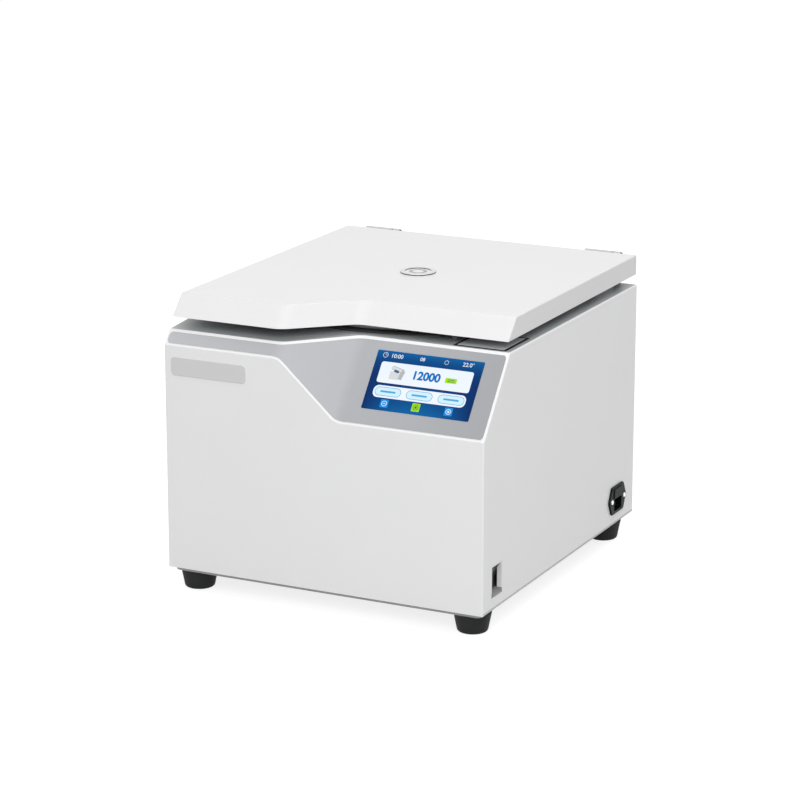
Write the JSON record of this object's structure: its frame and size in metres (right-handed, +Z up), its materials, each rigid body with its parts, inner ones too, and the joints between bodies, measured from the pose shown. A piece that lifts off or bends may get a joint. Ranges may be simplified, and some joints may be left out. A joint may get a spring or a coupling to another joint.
{
  "type": "benchtop centrifuge",
  "caption": "Benchtop centrifuge with a stepped sloping front, touch display, lift-up lid with a view port, lid lock and fixed-angle rotor in a round chamber.",
  "frame": {"origin": "on the bench, under the middle of the whole outline with its hinges", "axes": "+Z up, -Y the sloping front, +X the side with the power switch and the mains inlet"},
  "size_m": [0.4339, 0.4913, 0.3742],
  "materials": {
    "cabinet_paint": "fine satin powder coat",
    "lid_paint": "smooth satin paint",
    "rear_paint": "powder coat",
    "overlay_film": "fine-grain film",
    "display_face": "glass-smooth, lit",
    "badge": "smooth",
    "light_plastic": "satin",
    "black_plastic": "satin",
    "black_rubber": "matt",
    "stainless": "brushed",
    "steel_parts": "primed",
    "hinge_paint": "satin paint",
    "fasteners": "bright zinc",
    "rotor_metal": "dark anodised",
    "cast_aluminium": "cast",
    "liner_plastic": "satin",
    "port_metal": "polished",
    "port_glass": "clear",
    "motor_steel": "machined",
    "board": "solder mask",
    "fuse_glass": "clear"
  },
  "bodies": {
    "housing": {"badge_plate": "badge", "base_tray": "rear_paint", "bracket_screws": "fasteners", "cabinet_shell": "cabinet_paint", "chamber_bowl": "stainless", "chamber_gasket": "black_rubber", "control_board": "board", "control_overlay": "overlay_film", "deck_cover": "light_plastic", "display_glass": "display_face", "display_module": "board", "drive_unit": "cast_aluminium", "fan_frame": "black_plastic", "fan_guard": "fasteners", "foot_screws": "fasteners", "guard_posts": "steel_parts", "guard_ring": "steel_parts", "hinge_brackets": "hinge_paint", "hinge_pins": "stainless", "inlet_blades": "fasteners", "inlet_body": "black_plastic", "inlet_screws": "fasteners", "line_filter": "board", "lock_guides": "steel_parts", "lock_motor": "board", "motor_bearings": "motor_steel", "motor_dampers": "black_rubber", "motor_housing": "cast_aluminium", "motor_plate": "steel_parts", "motor_stator": "motor_steel", "panel_screws": "fasteners", "rear_panel": "rear_paint", "rubber_feet": "black_rubber", "shaft_seal": "black_rubber", "switch_pocket": "light_plastic"},
    "lid": {"lid_shell": "lid_paint", "lid_plate": "cast_aluminium", "lid_liner": "liner_plastic", "lid_screws": "fasteners", "port_sleeve": "port_metal", "port_window": "port_glass", "lid_strikers": "stainless", "hinge_leaves": "hinge_paint"},
    "rotor": {"rotor": "rotor_metal", "drive_shaft": "stainless", "motor_armature": "motor_steel", "rotor_cover": "rotor_metal", "cover_seal": "black_rubber"},
    "rotor_knob": {"rotor_knob": "black_plastic"},
    "lock_bar": {"lock_bar": "stainless"},
    "power_rocker": {"power_rocker": "black_plastic"},
    "fuse_drawer": {"fuse_drawer": "black_plastic", "fuses": "fuse_glass"},
    "fan_impeller": {"fan_impeller": "black_plastic"}
  },
  "joints": [
    {"name": "lid_hinge", "type": "hinge", "parent": "housing", "child": "lid", "pos_m": [0, 0.24115, 0.3686], "axis": [-1, 0, 0], "range_deg": [0, 78]},
    {"name": "rotor_spin", "type": "hinge", "parent": "housing", "child": "rotor", "pos_m": [0, 0.02005, 0.23], "axis": [0, 0, 1], "continuous": true},
    {"name": "rotor_knob_turn", "type": "hinge", "parent": "rotor", "child": "rotor_knob", "pos_m": [0, 0.02005, 0.28], "axis": [0, 0, 1], "range_deg": [0, 540]},
    {"name": "lid_lock", "type": "slide", "parent": "housing", "child": "lock_bar", "axis": [1, 0, 0], "range_m": [0, 0.009]},
    {"name": "power_switch", "type": "hinge", "parent": "housing", "child": "power_rocker", "pos_m": [0.206, -0.20575, 0.0678], "axis": [0, -1, 0], "range_deg": [0, 20]},
    {"name": "fuse_drawer_slide", "type": "slide", "parent": "housing", "child": "fuse_drawer", "axis": [1, 0, 0], "range_m": [0, 0.018]},
    {"name": "fan_spin", "type": "hinge", "parent": "housing", "child": "fan_impeller", "pos_m": [-0.105, 0.21335, 0.12], "axis": [0, 1, 0], "continuous": true}
  ]
}
